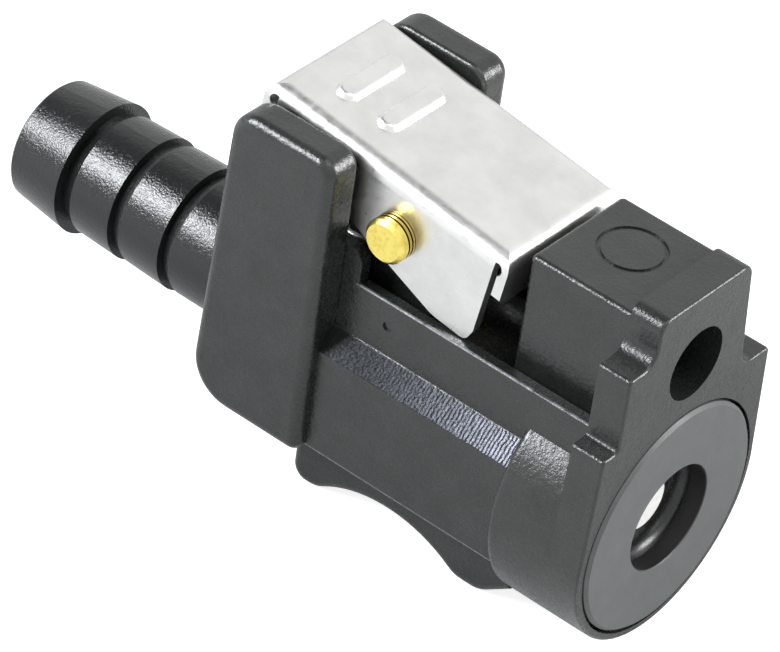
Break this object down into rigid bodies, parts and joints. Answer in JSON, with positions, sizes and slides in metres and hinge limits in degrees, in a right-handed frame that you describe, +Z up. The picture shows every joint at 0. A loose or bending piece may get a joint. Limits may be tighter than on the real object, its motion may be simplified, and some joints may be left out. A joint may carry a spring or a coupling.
{
  "type": "quick disconnect coupling",
  "caption": "Moulded plastic quick disconnect coupling with a hose barb, a sprung steel thumb latch, a guide hole and a valved socket for a mating nipple",
  "frame": {"origin": "Centre of the fluid bore at the face of the front insert", "axes": "X out of the mating face, Y to the far side of the latch, Z up to the latch"},
  "size_m": [0.0594, 0.0202, 0.0328],
  "materials": {
    "body_plastic": "fine moulded grain, dark grey",
    "insert_plastic": "smooth moulded grey",
    "seal_rubber": "smooth black",
    "poppet_plastic": "white moulded",
    "spring_steel": "drawn stainless wire",
    "latch_steel": "pressed stainless sheet",
    "pin_brass": "turned brass"
  },
  "bodies": {
    "housing": {"body": "body_plastic", "front_insert": "insert_plastic", "nipple_seal": "seal_rubber", "valve_spring": "spring_steel", "pivot_pin": "pin_brass", "latch_spring": "spring_steel"},
    "latch": {"latch_lever": "latch_steel"},
    "poppet": {"valve_poppet": "poppet_plastic"}
  },
  "joints": [
    {"name": "latch_hinge", "type": "hinge", "parent": "housing", "child": "latch", "pos_m": [-0.0224, 0, 0.0157], "axis": [0, -1, 0], "range_deg": [0, 14], "stiffness_Nm_per_rad": 0.25, "springref_deg": -20.05, "deforming": ["latch_spring"]},
    {"name": "poppet_slide", "type": "slide", "parent": "housing", "child": "poppet", "axis": [-1, 0, 0], "range_m": [0, 0.004], "stiffness_N_per_m": 500, "springref_m": -0.004, "deforming": ["valve_spring"]}
  ]
}
